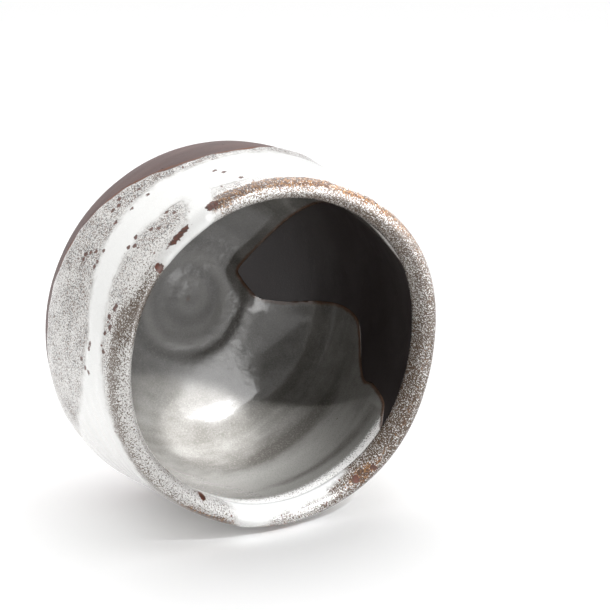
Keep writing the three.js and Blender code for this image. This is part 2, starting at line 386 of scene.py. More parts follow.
def closed_rings(name, rows, fields=None, wraps=False):
    """A closed turned piece from rows of points round it, where a row of one point lies on the axis.
    The last row joins the first where it wraps."""
    counts = [len(row) for row in rows]
    starts = np.concatenate([[0], np.cumsum(counts)[:-1]])
    faces = []
    pairs = [(i, i + 1) for i in range(len(rows) - 1)] + ([(len(rows) - 1, 0)] if wraps else [])
    for i, j in pairs:
        count = max(counts[i], counts[j])
        for k in range(count):
            n = (k + 1) % count
            corners = (starts[i] + k % counts[i], starts[i] + n % counts[i],
                       starts[j] + n % counts[j], starts[j] + k % counts[j])
            faces.append([int(c) for c in dict.fromkeys(corners)])
    piece = new_object(name, np.concatenate(rows), faces, fields)
    tidy_faces(piece)
    return piece


def coat_object(name, turns, alongs, depth_of, top_lift, under_lift, fields_of):
    """A closed coat over the part of the wall where depth_of is positive.
    Its edge is cut through the cells of a grid of turns and distances from the lip."""
    rows, columns = len(alongs), len(turns)
    grid_turn, grid_along = (g.ravel() for g in np.meshgrid(turns, alongs))
    depth = depth_of(grid_turn, grid_along)
    inside = (depth > 0).reshape(rows, columns)
    numbers = np.full(rows * columns, -1)
    kept = np.flatnonzero(depth > 0)
    numbers[kept] = np.arange(len(kept))
    cut_turn, cut_along, cuts = [], [], {}

    def cut(a, b):
        """The number of the vertex where the coat's edge crosses a side of a cell."""
        key = (min(a, b), max(a, b))
        if key not in cuts:
            share = depth[key[0]] / (depth[key[0]] - depth[key[1]])
            step = (grid_turn[key[1]] - grid_turn[key[0]] + 180) % 360 - 180
            cut_turn.append(grid_turn[key[0]] + share * step)
            cut_along.append(grid_along[key[0]] + share * (grid_along[key[1]] - grid_along[key[0]]))
            cuts[key] = len(kept) + len(cuts)
        return cuts[key]

    faces, rims = [], []
    for row in range(rows - 1):
        state = inside[row].astype(int) + inside[row + 1]
        state = state + np.roll(state, -1)
        for column in np.flatnonzero(state):
            n = (column + 1) % columns
            below, above = row * columns, (row + 1) * columns
            cell = [below + column, below + n, above + n, above + column]
            if state[column] == 4:
                faces.append([numbers[c] for c in cell])
                continue
            polygon, edge_cuts = [], []
            for a, b in zip(cell, cell[1:] + cell[:1]):
                if depth[a] > 0:
                    polygon.append(numbers[a])
                if (depth[a] > 0) != (depth[b] > 0):
                    polygon.append(cut(a, b))
                    edge_cuts.append((polygon[-1], depth[a] > 0))
            faces.append(polygon)
            rims.extend((p, q) for (p, leaves), (q, _) in
                        zip(edge_cuts, edge_cuts[1:] + edge_cuts[:1]) if leaves)
    turn = np.concatenate([grid_turn[kept], cut_turn])
    along = np.concatenate([grid_along[kept], cut_along])
    depth = np.concatenate([depth[kept], np.zeros(len(cut_turn))])
    count = len(turn)
    for row in (0, rows - 1):
        line = [row * columns + c for c in range(columns)]
        closes_at_axis = row and alongs[-1] >= wall.end
        for a, b in zip(line, line[1:] + line[:1]):
            if numbers[a] >= 0 and numbers[b] >= 0 and not closes_at_axis:
                rims.append((numbers[b], numbers[a]) if row == 0 else (numbers[a], numbers[b]))
    places = wall.place(turn, along)
    clay = clay_lift(turn, along, places)
    top = wall.place(turn, along, clay + top_lift(turn, along, depth, places))
    under = wall.place(turn, along, clay + under_lift)
    faces += [[v + count for v in reversed(face)] for face in faces]
    faces += [(p, p + count, q + count, q) for p, q in rims]
    fields = fields_of(turn, along, places, depth)
    doubled = {key: np.concatenate([values, values]) for key, values in fields.items()}
    piece = new_object(name, np.concatenate([top, under]), faces, doubled)
    tidy_faces(piece)
    return piece


def tidy_faces(piece):
    """Joins the vertices that meet on the axis, and turns every face outwards."""
    mesh = bmesh.new()
    mesh.from_mesh(piece.data)
    bmesh.ops.remove_doubles(mesh, verts=mesh.verts, dist=1e-7)
    bmesh.ops.recalc_face_normals(mesh, faces=mesh.faces)
    mesh.to_mesh(piece.data)
    mesh.free()


# ---------------------------------------------------------------- finishes

# The shades that the finishes mix in besides the settings' own colours.
GRIT_DARK = shade(48, 38, 36)
GRIT_PALE = shade(120, 104, 98)
# Darker copies of the clay's pale and grit shades, for the inside of the bowl: painted shade.
SHADED_INSIDE_PALE = shade(42, 36, 36)
SHADED_INSIDE_GRIT = shade(64, 56, 55)
CLAY_FLECK = shade(48, 34, 30)
BURNT_GOLD = shade(74, 46, 26)
DARK_IRON = shade(66, 38, 28)
MIST = shade(128, 126, 121)
SOOT = shade(40, 38, 35)
INSIDE_FLECK = shade(60, 48, 40)


class Finish:
    """A node material, with short ways to add what a clay or a glaze needs. Sizes are in mm."""

    def __init__(self, name):
        self.material = bpy.data.materials.new(name)
        self.material.use_nodes = True
        self.tree = self.material.node_tree
        self.skin = self.tree.nodes["Principled BSDF"]
        self.place = self.node("TexCoord").outputs["Object"]

    def node(self, kind, inputs=None, **settings):
        made = self.tree.nodes.new("ShaderNode" + kind)
        for key, value in settings.items():
            setattr(made, key, value)
        for socket, value in (inputs or {}).items():
            self.feed(made.inputs[socket], value)
        return made

    def feed(self, socket, value):
        if isinstance(value, bpy.types.NodeSocket):
            self.tree.links.new(value, socket)
        elif socket.type == "RGBA":
            socket.default_value = (*value, 1.0)
        else:
            socket.default_value = value

    def field(self, name):
        return self.node("Attribute", attribute_name=name).outputs["Fac"]

    def sum(self, *values):
        total = values[0]
        for value in values[1:]:
            total = self.node("Math", {0: total, 1: value}, operation="ADD").outputs[0]
        return total

    def times(self, *values):
        total = values[0]
        for value in values[1:]:
            total = self.node("Math", {0: total, 1: value}, operation="MULTIPLY").outputs[0]
        return total

    def larger(self, a, b):
        return self.node("Math", {0: a, 1: b}, operation="MAXIMUM").outputs[0]

    def rise(self, value, low, high, first=0.0, last=1.0):
        """Goes smoothly from first to last as a value goes from low to high, and stays there."""
        inputs = {0: value, 1: low, 2: high, 3: first, 4: last}
        return self.node("MapRange", inputs, interpolation_type="SMOOTHSTEP").outputs[0]

    def cloud(self, size, detail=2.0, flat=1.0, shift=0.0, roughness=0.55):
        """Noise from 0 to 1 about 0.5, with blobs of a size, flattened up the bowl by a factor."""
        scale = (1 / MM,) * 2 + (flat / MM,)
        moved = self.node("Mapping", {0: self.place, 1: (shift,) * 3, 3: scale}).outputs[0]
        inputs = {"Vector": moved, "Scale": 1 / size, "Detail": detail, "Roughness": roughness}
        return self.node("TexNoise", inputs).outputs["Fac"]

    def specks(self, size, radius, share, flat=1.0, shift=0.0):
        """Round spots of a radius, one in some of the cells of a size. One in a spot's middle, 0 outside."""
        scale = (1 / MM,) * 2 + (flat / MM,)
        moved = self.node("Mapping", {0: self.place, 1: (shift,) * 3, 3: scale}).outputs[0]
        cells = self.node("TexVoronoi", {"Vector": moved, "Scale": 1 / size})
        picked = self.node("SeparateColor", {0: cells.outputs["Color"]}).outputs[0]
        chosen = self.rise(picked, share - 0.01, share, 1.0, 0.0)
        edge = radius / size
        return self.times(chosen, self.rise(cells.outputs["Distance"], 0.6 * edge, edge, 1.0, 0.0))

    def blend(self, share, first, second):
        mixer = self.node("Mix", data_type="RGBA")
        for socket, value in ((0, share), (6, first), (7, second)):
            self.feed(mixer.inputs[socket], value)
        return mixer.outputs[2]

    def relief(self, height, depth, under=None):
        """Bumps of a depth in mm where height goes from 0 to 1."""
        inputs = {"Height": height, "Distance": depth * MM, "Strength": 1.0}
        if under is not None:
            inputs["Normal"] = under
        return self.node("Bump", inputs).outputs[0]

    def finish(self, colour, roughness, normal, **uniform):
        """Sets the surface. Values that are the same all over go straight on its own sockets."""
        self.feed(self.skin.inputs["Base Color"], colour)
        self.feed(self.skin.inputs["Roughness"], roughness)
        self.feed(self.skin.inputs["Normal"], normal)
        for socket, value in uniform.items():
            self.skin.inputs[socket.replace("_", " ")].default_value = value
        return self.material


def clay_finish(settings):
    """Iron-rich stoneware, fired bare: satin, finely gritty, with paler and darker drifts along the rings.
    Inside the bowl it takes a much darker copy of its colours, which is painted shade.
    """
    f = Finish("bare_clay")
    drift = f.cloud(16, 3, flat=3.5)
    streak = f.cloud(5, 3, flat=9, shift=2)
    grit = f.cloud(0.5, 2, shift=5)
    base = f.blend(f.rise(drift, 0.3, 0.7), settings.clay_colour, settings.clay_light)
    base = f.blend(f.rise(streak, 0.48, 0.78, 0, 0.35), base, settings.clay_light)
    base = f.blend(f.rise(grit, 0.58, 0.75, 0, 0.30), base, GRIT_DARK)
    base = f.blend(f.rise(grit, 0.42, 0.25, 0, 0.18), base, GRIT_PALE)
    # Painted shade: inside the bowl the bare clay switches to much darker copies of its colours.
    inner = f.rise(f.field("inside"), 0.2, 0.8)
    dark = f.blend(f.rise(drift, 0.3, 0.7), settings.shaded_clay_inside, SHADED_INSIDE_PALE)
    dark = f.blend(f.rise(grit, 0.5, 0.75, 0, 0.25), dark, SHADED_INSIDE_GRIT)
    base = f.blend(inner, base, dark)
    edge = f.sum(f.field("flash"), f.times(f.sum(drift, -0.5), 0.5))
    base = f.blend(f.rise(edge, 0.35, 0.8), base, settings.flash_colour)
    fleck = f.specks(3.2, 0.42, 0.22, shift=11)
    base = f.blend(fleck, base, CLAY_FLECK)
    rough = f.sum(f.rise(drift, 0.3, 0.7, 0.50, 0.62), f.times(inner, -0.08))
    normal = f.relief(grit, 0.05, f.relief(f.cloud(0.9, 3, flat=6, shift=7), 0.05))
    return f.finish(base, rough, normal, Specular_IOR_Level=0.4)


def outer_finish(settings, name):
    """White-grey glaze broken by fine grey and brown grain, whiter where it was poured thick,
    golden where it thins on the lip, with rust-red iron marks."""
    f = Finish(name)
    fine = f.cloud(0.34, 1, shift=1)
    finer = f.cloud(0.52, 2, shift=4)
    drift = f.cloud(4.5, 3, shift=9)
    pepper = f.sum(f.times(fine, 0.5), f.times(finer, 0.5))
    grain = f.sum(f.field("grain"), f.times(f.sum(drift, -0.5), 0.5))
    dark = f.rise(f.sum(pepper, f.times(f.sum(grain, -0.5), -0.30)), 0.42, 0.56)
    tint = f.blend(f.rise(f.cloud(1.3, 1, shift=14), 0.42, 0.58), settings.grain_grey, settings.grain_brown)
    body = f.blend(dark, settings.glaze_light, tint)
    brown = f.sum(f.field("brown"), f.times(f.sum(drift, -0.5), 0.5))
    peat = f.rise(f.sum(pepper, f.rise(brown, 0.0, 1.0, -0.12, 0.11)), 0.47, 0.57)
    body = f.blend(f.times(peat, 0.92), body, settings.peat_colour)
    golden = f.sum(f.field("golden"), f.times(f.sum(f.cloud(2.2, 3, flat=2.0, shift=21), -0.5), 1.1))
    cover = f.rise(f.sum(pepper, f.rise(golden, 0.1, 1.0, -0.16, 0.12)), 0.49, 0.55)
    burnt = f.rise(f.cloud(0.8, 2, shift=24), 0.40, 0.54)
    amber = f.blend(burnt, settings.golden_colour, BURNT_GOLD)
    body = f.blend(f.times(cover, 0.95), body, amber)
    white = f.sum(f.field("white"), f.times(f.sum(f.cloud(3, 3, shift=31), -0.5), 5.0),
                  f.times(f.sum(pepper, -0.5), 9.0))
    body = f.blend(f.rise(white, -2.0, 1.6), body, settings.white_colour)
    near_edge = f.times(f.rise(f.field("white"), -7, -1.5), f.rise(f.field("white"), 1.2, 0.0))
    rust = f.times(f.specks(2.3, 0.42, 0.34, flat=0.6, shift=17), near_edge)
    rust = f.larger(rust, f.specks(5.2, 0.40, 0.22, flat=0.6, shift=27))
    body = f.blend(rust, body, settings.rust_colour)
    mark = f.sum(f.field("mark"), f.times(f.sum(f.cloud(1.1, 3, shift=37), -0.5), 1.3))
    iron = f.blend(f.rise(f.cloud(0.8, 2, shift=41), 0.4, 0.65), settings.iron_colour, DARK_IRON)
    body = f.blend(f.rise(mark, -0.05, 0.15), body, iron)
    sunk = f.sum(f.times(f.rise(mark, -0.1, 0.3), -0.8), f.times(dark, -0.25))
    normal = f.relief(sunk, 0.05, f.relief(f.cloud(2.4, 3, flat=1.5, shift=51), 0.10))
    rough = f.sum(f.times(dark, 0.10), f.times(f.rise(mark, 0, 0.3), 0.25), f.times(cover, 0.08), 0.16)
    return f.finish(body, rough, normal, IOR=1.52, Coat_Weight=0.35, Coat_Roughness=0.07)


def inner_finish(settings):
    """Grey glaze over dark clay: darker where thin, milky where it ran thick, with the odd iron fleck. The
    thick field also carries painted light, paler on the lower inner wall near the lip.
    """
    f = Finish("inner_glaze")
    drift = f.cloud(14, 3, shift=3)
    ring = f.cloud(7, 3, flat=3.0, shift=13)
    mist = f.cloud(0.65, 2, shift=23)
    fine = f.cloud(0.35, 1, shift=33)
    # thick is the glaze's thickness together with painted light on the lower inner wall.
    thick = f.sum(f.field("thick"), f.times(f.sum(drift, -0.5), 0.40), f.times(f.sum(ring, -0.5), 0.28))
    body = f.blend(f.rise(thick, 0.15, 0.85), settings.inner_thin, settings.inner_thick)
    body = f.blend(f.rise(mist, 0.45, 0.75, 0, 0.26), body, MIST)
    body = f.blend(f.rise(fine, 0.45, 0.7, 0, 0.24), body, SOOT)
    band = f.field("band")
    pepper = f.sum(f.times(fine, 0.6), f.times(mist, 0.4))
    light = f.rise(f.sum(pepper, f.times(band, 0.16)), 0.50, 0.62)
    body = f.blend(f.times(light, f.rise(band, 0.05, 0.6)), body, settings.glaze_light)
    edge = f.sum(f.field("edge"), f.times(f.sum(f.cloud(2, 2, shift=43), -0.5), 0.5))
    body = f.blend(f.rise(edge, 0.3, 0.85, 0, 0.85), body, settings.edge_colour)
    fleck = f.specks(9.0, 0.5, 0.16, flat=2.0, shift=53)
    body = f.blend(f.times(fleck, 0.8), body, INSIDE_FLECK)
    rough = f.rise(mist, 0.3, 0.7, settings.inner_roughness - 0.02, settings.inner_roughness + 0.03)
    normal = f.relief(f.cloud(3.0, 2, shift=63), 0.05)
    return f.finish(body, rough, normal, IOR=1.55, Coat_Weight=0.3, Coat_Roughness=0.06)


# ---------------------------------------------------------------- pieces

def fine_turns(step):
    """Turns round the bowl, about a step in mm apart at the lip."""
    count = int(round(2 * math.pi * LIP_RADIUS / step))
    return np.arange(count) * 360 / count - 180


def ride_on_root(piece, node, material):
    piece.data.materials.append(material)
    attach(piece, "root")
    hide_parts(node)


def wall_spacing(fine, coarse, fine_from, fine_to, start, end):
    """Distances along the wall, a fine step apart in one stretch of it and coarser elsewhere."""
    marks, along = [], start
    while along < end - 0.4 * fine:
        marks.append(along)
        along += fine if fine_from <= along <= fine_to else coarse
    return np.array(marks + [end])


def tone(name, red, green, blue, note):
    return FloatVectorProperty(name=name, description=note, subtype="COLOR", size=3, min=0, max=1,
                               default=shade(red, green, blue))


def distance(name, metres, note):
    return FloatProperty(name=name, description=note, subtype="DISTANCE", unit="LENGTH", default=metres)


def length(name, millimetres, note):
    return distance(name, millimetres * MM, note)


def angle(name, degrees, note):
    return FloatProperty(name=name, description=note, subtype="ANGLE", unit="ROTATION",
                         default=math.radians(degrees))


class BowlSettings(bpy.types.PropertyGroup):
    """Sizes and colours of the bowl's clay and glazes."""

    step: length("Mesh step", 0.85, "Distance between the vertices of the visible skins")
    glaze: length("Glaze thickness", 0.55, "How far the glaze stands off the clay")
    pour: length("Pour thickness", 0.22, "How far the white pour stands off the glaze below it")
    clay_colour: tone("Clay", 88, 68, 66, "Bare clay outside")
    clay_light: tone("Clay, paler", 110, 90, 87, "Paler streaks in the bare clay")
    # Painted shade: a much darker copy of the bare clay for the inside of the bowl.
    shaded_clay_inside: tone("Clay, inside", 33, 26, 26, "Bare clay left by the inner glaze")
    flash_colour: tone("Flash", 112, 66, 42, "Orange-brown line of clay beside a glaze edge")
    glaze_light: tone("Glaze", 226, 224, 221, "Light part of the speckled glaze")
    grain_grey: tone("Grey grain", 92, 89, 88, "Grey grain of the speckled glaze")
    grain_brown: tone("Brown grain", 104, 84, 72, "Brown grain of the speckled glaze")
    peat_colour: tone("Brown speckle", 92, 76, 62, "Dense brown speckle below and on the lip")
    rust_colour: tone("Rust fleck", 92, 44, 30, "Small rust-red flecks")
    golden_colour: tone("Golden", 138, 96, 50, "Where the glaze thins over the lip")
    iron_colour: tone("Iron", 94, 46, 28, "Rust-red iron marks")
    white_colour: tone("White glaze", 243, 243, 241, "The white pour")
    inner_thin: tone("Inner glaze, thin", 74, 71, 67, "Inner glaze where it is thin")
    inner_thick: tone("Inner glaze, thick", 124, 122, 118, "Inner glaze where it ran thick")
    edge_colour: tone("Inner glaze edge", 74, 46, 26, "Brown edge of the inner glaze beside bare clay")
    inner_roughness: FloatProperty(name="Inner gloss", description="Roughness of the inner glaze",
                                   default=0.13)
    columns: IntProperty(name="Foot columns", description="Columns round the foot ring", default=360)


class PieceOperator:
    bl_options = {"REGISTER", "UNDO"}


class BOWL_OT_clay_body(PieceOperator, bpy.types.Operator):
    """Throw the clay body: a closed, ringed wall with a turned underside"""
    bl_idname = "matcha_bowl.clay_body"
    bl_label = "Clay Body"

    def execute(self, context):
        settings = context.scene.matcha_bowl
        turns = fine_turns(settings.step / MM * 1.1)
        alongs = wall_spacing(1.0, 2.0, -60, 94, wall.start, wall.end)
        rows = [wall.uneven(np.zeros(1), wall.underside[:1, 1], np.zeros(1))]
        for radius, height in wall.underside[2::3]:
            if radius < wall.points[0, 0] - 0.5:
                ripple = RIPPLE * np.sin(radius * RIPPLE_TURNS) if radius < RIPPLE_REACH else 0.0
                rows.append(wall.uneven(np.full(turns.shape, radius), height + ripple, turns))
        for along in alongs[:-1]:
            flat = wall.place(turns, np.full(turns.shape, along))
            lift = clay_lift(turns, np.full(turns.shape, along), flat)
            rows.append(wall.place(turns, np.full(turns.shape, along), lift))
        rows.append(wall.place(np.zeros(1), np.array([wall.end])))
        under = len(rows) - len(alongs)
        along_of = np.concatenate([np.full(sum(len(r) for r in rows[:under]), wall.start)]
                                  + [np.full(len(r), a) for r, a in zip(rows[under:], alongs)])
        turn_of = np.concatenate([turns if len(r) > 1 else [0.0] for r in rows])
        dip = np.interp(turn_of, *np.array(DIP_LINE, float).T)
        flash = bump(along_of, dip - 0.6, 0.9)
        # The inside field switches the clay to its darker, painted-shade colours inside the bowl.
        fields = {"inside": smoothstep(along_of, -2, 2), "flash": flash}
        piece = closed_rings("clay_body", rows, fields)
        ride_on_root(piece, "clay_body", clay_finish(settings))
        return {"FINISHED"}


class BOWL_OT_foot_ring(PieceOperator, bpy.types.Operator):
    """Turn the foot ring, with softened edges and the marks of the trimming tool"""
    bl_idname = "matcha_bowl.foot_ring"
    bl_label = "Foot Ring"

    def execute(self, context):
        settings = context.scene.matcha_bowl
        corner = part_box("foot_ring")[1] / MM
        outer, top = corner.x, corner.z
        outline = [(outer - 1.9, 0), (outer - 1.0, 0.25), (outer - 0.5, 0.9), (outer - 0.3, 2.2),
                   (outer - 0.05, 3.6), (outer, top - 0.7), (outer, top), (outer - 3.2, top),
                   (outer - 6.3, top), (outer - 6.4, top - 1.0), (outer - 6.0, 3.4), (outer - 5.5, 1.2),
                   (outer - 5.0, 0.35), (outer - 4.2, 0.02), (outer - 3.0, 0), (outer - 1.9, 0)]
        profile = rounded(outline, 7)[:-1]
        turns = np.arange(settings.columns) * 360 / settings.columns
        rows = []
        for radius, height in profile:
            wobble = 0.10 * np.cos(np.radians(3 * turns + 40))
            wobble += 0.07 * np.sin(2 * np.pi * height / 1.1)
            share = min(height / 1.5, 1.0)
            rows.append(wall.uneven(radius + share * wobble - 0.12 * share, max(height, 0.0), turns))
        piece = closed_rings("foot_ring", rows, wraps=True)
        zero = np.zeros(len(piece.data.vertices), np.float32)
        for field in ("inside", "flash"):
            piece.data.attributes.new(field, "FLOAT", "POINT").data.foreach_set("value", zero)
        ride_on_root(piece, "foot_ring", bpy.data.materials["bare_clay"])
        return {"FINISHED"}


class BOWL_OT_inner_glaze(PieceOperator, bpy.types.Operator):
    """Pour the grey glaze over the inside, leaving a window of bare clay"""
    bl_idname = "matcha_bowl.inner_glaze"
    bl_label = "Inner Glaze"

    def execute(self, context):
        settings = context.scene.matcha_bowl
        glaze = settings.glaze / MM
        turns = fine_turns(settings.step / MM * 1.15)
        alongs = wall_spacing(0.9, 1.2, 4, 96, RIM_BAND - 1.0, wall.end)

        def depth_of(turn, along):
            middle, reach, end = WINDOW_STRETCH
            window = np.full(turn.shape, FAR_OUTSIDE)
            near = (np.abs((turn - middle + 180) % 360 - 180) < reach) & (along < end)
            window[near] = REGIONS["window"].depth(turn[near], along[near])
            return np.minimum(-window + 0.001, 60)

        def top_lift(turn, along, depth, places):
            rounding = smoothstep(depth, -1.5, 6)
            start = smoothstep(along, RIM_BAND - 1.0, RIM_BAND + 2.0)
            skin = 0.10 + (glaze - 0.10 + 0.04 * clouds(places, 15, 21.0)) * rounding
            return skin * start - 0.12 * (1 - start)

        def fields_of(turn, along, places, depth):
            radius = wall.at(along)[0]
            thick = 0.42 - 1.6 * ring_relief(turn, along, places)
            # Painted light: much paler glaze near the lip on the bowl's lower side, where the inner wall
            # faces up to the light.
            thick += 0.60 * (1 - smoothstep(along, 15, 55)) * near_turn(turn, 115, 75)
            thick -= 0.55 * bump(along, 21.5 - 0.08 * np.abs(turn - 130), 3.0) * near_turn(turn, 150, 36)
            thick -= 0.50 * bump(along, 44, 3.6) * near_turn(turn, 152, 26)
            thick += 0.15 * bump(along, 34, 4.0) * near_turn(turn, 145, 40)
            thick -= 0.14 * bump(radius, 21.5, 1.6) + 0.10 * bump(radius, 9.5, 2.2)
            thick += 0.14 * bump(radius, 15.5, 3.0)
            thick += 0.22 * bump(radius, 25.5, 2.6) * near_turn(turn, -175, 45)
            spiral = np.sin(2 * np.pi * radius / 7.0 - np.radians(turn))
            thick += (0.05 + 0.13 * spiral) * (1 - smoothstep(radius, 16, 20)) * smoothstep(radius, 0.5, 3)
            band = bump(along, RIM_BAND + 0.5, 3.2)
            edge = np.clip(1.15 - depth / 2.0, 0, 1) * (depth < 8) + 0.8 * bump(radius, 0, 1.3)
            return {"thick": thick, "band": band, "edge": edge}

        piece = coat_object("inner_glaze", turns, alongs, depth_of, top_lift, COAT_SINK, fields_of)
        ride_on_root(piece, "inner_glaze", inner_finish(settings))
        return {"FINISHED"}


def outer_top(glaze):
    """The lift of the outer glaze's skin: rounded at its dip line, with a bead where it stopped."""
    def lift(turn, along, depth, places):
        rounding = np.sqrt(np.clip(depth / 2.0, 0, 1))
        bead = 0.22 * np.exp(-((depth - 1.8) / 1.5) ** 2) * (along < -20)
        flow = 0.05 * clouds(places, 9, 31.0)
        return 0.06 + (glaze - 0.06 + flow) * rounding + bead
    return lift


def dip_depth(turn, along):
    """Distance in mm from the outer glaze's own edges, positive under the glaze."""
    curve = rounded(DIP_LINE, 12)
    level = np.interp(turn, curve[:, 0], curve[:, 1])
    waver = 0.35 * np.sin(np.radians(turn * 17)) + 0.25 * np.sin(np.radians(turn * 41 + 60))
    return np.minimum(along - level - waver, (RIM_BAND - along) * 1.2)


class BOWL_OT_outer_glaze(PieceOperator, bpy.types.Operator):
    """Dip the outside and the lip in the speckled glaze, short of the foot"""
    bl_idname = "matcha_bowl.outer_glaze"
    bl_label = "Outer Glaze"

    def execute(self, context):
        settings = context.scene.matcha_bowl
        turns = fine_turns(settings.step / MM)
        alongs = wall_spacing(0.55, 0.85, -6, 9, -54.0, RIM_BAND + 1.2)
        top_lift = outer_top(settings.glaze / MM)
        piece = coat_object("outer_glaze", turns, alongs, dip_depth, top_lift, COAT_SINK, glaze_fields)
        ride_on_root(piece, "outer_glaze", outer_finish(settings, "outer_glaze"))
        return {"FINISHED"}


class BOWL_OT_white_pour(PieceOperator, bpy.types.Operator):
    """Pour the white glaze round one side and let it run over the lip"""
    bl_idname = "matcha_bowl.white_pour"
    bl_label = "White Pour"

    def execute(self, context):
        settings = context.scene.matcha_bowl
        turns = fine_turns(settings.step / MM)
        alongs = wall_spacing(0.55, 0.85, -8, 9, -48.0, 9.0)
        below = outer_top(settings.glaze / MM)
        pour = settings.pour / MM

        def depth_of(turn, along):
            return np.minimum(poured_depth(turn, along) + 0.8, dip_depth(turn, along) - 1.5)

        def top_lift(turn, along, depth, places):
            base = below(turn, along, dip_depth(turn, along), places)
            return base + 0.02 + pour * smoothstep(depth, 0, 2.6)

        piece = coat_object("white_glaze_pour", turns, alongs, depth_of, top_lift, POUR_UNDERSIDE,
                            glaze_fields)
        ride_on_root(piece, "white_glaze_pour", outer_finish(settings, "white_glaze"))
        return {"FINISHED"}


# ---------------------------------------------------------------- stage

class StageSettings(bpy.types.PropertyGroup):
    """How the bowl lies, and where the camera and lights stand. The bowl lies on its side."""

    top_turn: angle("Topmost turn", -58.06, "Turn of the bowl's side that lies uppermost")
    droop: angle("Mouth droop", 3.5, "How far the mouth points below level")
    swing: angle("Camera swing", -29.5, "Camera's bearing from the bowl's axis, seen from above the table")
    rise: angle("Camera rise", 14.27, "Camera's height above the table, as an angle")
    reach: distance("Camera distance", 0.5585, "From the middle of the bowl to the camera")
    aim_right: distance("Aim right", 0.0253, "How far right of the bowl's middle the camera looks")
    aim_up: distance("Aim up", 0.0058, "How far above the bowl's middle the camera looks")
    lens: FloatProperty(name="Lens", description="Focal length in mm", default=100.3)
    floor_size: distance("Floor size", 6.0, "Width of the floor")
    floor_tone: FloatProperty(name="Floor tone", description="How pale the floor is", default=0.93)


# Soft light panels: bearing from the camera's side towards its right, lean outwards, distance, brightness,
# and corners across and up the panel from where it meets the table. Angles in degrees, lengths in metres.
PANELS = [
    ("side_panel", 48, 25, 0.150, 5.8,
     [(0.024, 0.002), (0.032, 0.002), (0.035, 0.025), (0.040, 0.046), (0.048, 0.070), (0.066, 0.128),
      (0.092, 0.214), (0.092, 0.400), (-0.180, 0.400), (-0.180, 0.322), (-0.064, 0.124), (-0.020, 0.059),
      (0.010, 0.020)]),
    ("side_wing", 48, 25, 0.150, 0.9,
     [(0.036, 0.022), (0.066, 0.030), (0.120, 0.050), (0.200, 0.110), (0.240, 0.300), (0.093, 0.300),
      (0.093, 0.214), (0.067, 0.128), (0.049, 0.070), (0.041, 0.046)]),
]
# Area lights: bearing and height in degrees, then distance, width, tallness in metres, and brightness.
LIGHTS = [
    ("key_sheet", 45, 58, 0.70, 0.32, 0.32, 1.8),
    ("left_sheet", -80, 35, 1.1, 1.0, 1.0, 0.5),
    ("top_sheet", 160, 62, 1.1, 1.2, 0.9, 0.9),
]
LAMP_COLOUR = (0.95, 0.97, 1.0)
# Small lamps: bearing, height, distance, the lit place on the inner wall (turn, along), cone in degrees,
# softness of the cone's edge, radius of the lamp, power in watts, and whether its cone is square.
LAMPS = [
    ("mouth_lamp", 45, 45, 0.70, (118, 54), 5.2, 0.9, 0.030, 155.0, False),
    ("patch_lamp", 47, 30, 0.60, (124, 64), 3.1, 0.15, 0.003, 36.0, True),
]


# The room's brightness behind the bowl and above it: where it starts to rise and where it stops, as how
# far a direction points that way, then the brightness before and after.
ROOM_BEHIND = (-0.25, 0.5, 0.28, 0.90)
ROOM_ABOVE = (0.25, 0.9, 0.0, 0.60)
FLOOR_GLOW = 0.12
FILM_WIDTH = 36
NEAREST, FARTHEST = 0.01, 20


class Stage:
    """Directions on the table: right and towards the camera along it, and up from it."""

    def __init__(self, settings):
        turn, droop = settings.top_turn, settings.droop
        level = math.cos(droop)
        self.up = Vector((math.cos(turn) * level, math.sin(turn) * level, -math.sin(droop)))
        mouth = (Vector((0, 0, 1)) - self.up.z * self.up).normalized()
        side = self.up.cross(mouth)
        self.toward = mouth * math.cos(settings.swing) + side * math.sin(settings.swing)
        self.right = self.up.cross(self.toward)
        self.back = self.toward * math.cos(settings.rise) + self.up * math.sin(settings.rise)
        low, high = CAD_BOX
        self.middle = (low + high) / 2

    def direction(self, bearing, height):
        """A direction from a bearing and a height in degrees."""
        b, h = math.radians(bearing), math.radians(height)
        level = self.toward * math.cos(b) + self.right * math.sin(b)
        return level * math.cos(h) + self.up * math.sin(h)


def facing(place, back, up):
    """The world matrix of something at a place whose own +Z points back and whose +Y leans up."""
    right = up.cross(back).normalized()
    matrix = Matrix((right, back.cross(right), back)).transposed().to_4x4()
    matrix.translation = place
    return matrix


def panel_finish(name, brightness):
    """A lit cloth, bright on the side that faces the bowl."""
    f = Finish(name)
    back = f.node("NewGeometry").outputs["Backfacing"]
    f.tree.nodes.remove(f.skin)
    lit = f.node("Emission", {"Strength": f.rise(back, 0, 1, brightness, 0)})
    f.tree.links.new(lit.outputs[0], f.tree.nodes["Material Output"].inputs["Surface"])
    return f.material


def floor_finish(tone):
    """Matt white paper. Seen from below it isn't there, so that the bowl's far side can be looked at."""
    f = Finish("floor_paper")
    tooth = f.cloud(1.5, 3)
    paper = f.blend(tooth, (tone - 0.006,) * 3, (tone,) * 3)
    f.finish(paper, 0.75, f.relief(tooth, 0.02), Specular_IOR_Level=0.15, Emission_Strength=FLOOR_GLOW)
    f.skin.inputs["Emission Color"].default_value = (1, 1, 1, 1)
    clear = f.node("BsdfTransparent").outputs[0]
    back = f.node("NewGeometry").outputs["Backfacing"]
    mixed = f.node("MixShader", {0: back, 1: f.skin.outputs[0], 2: clear})
    f.tree.links.new(mixed.outputs[0], f.tree.nodes["Material Output"].inputs["Surface"])
    return f.material


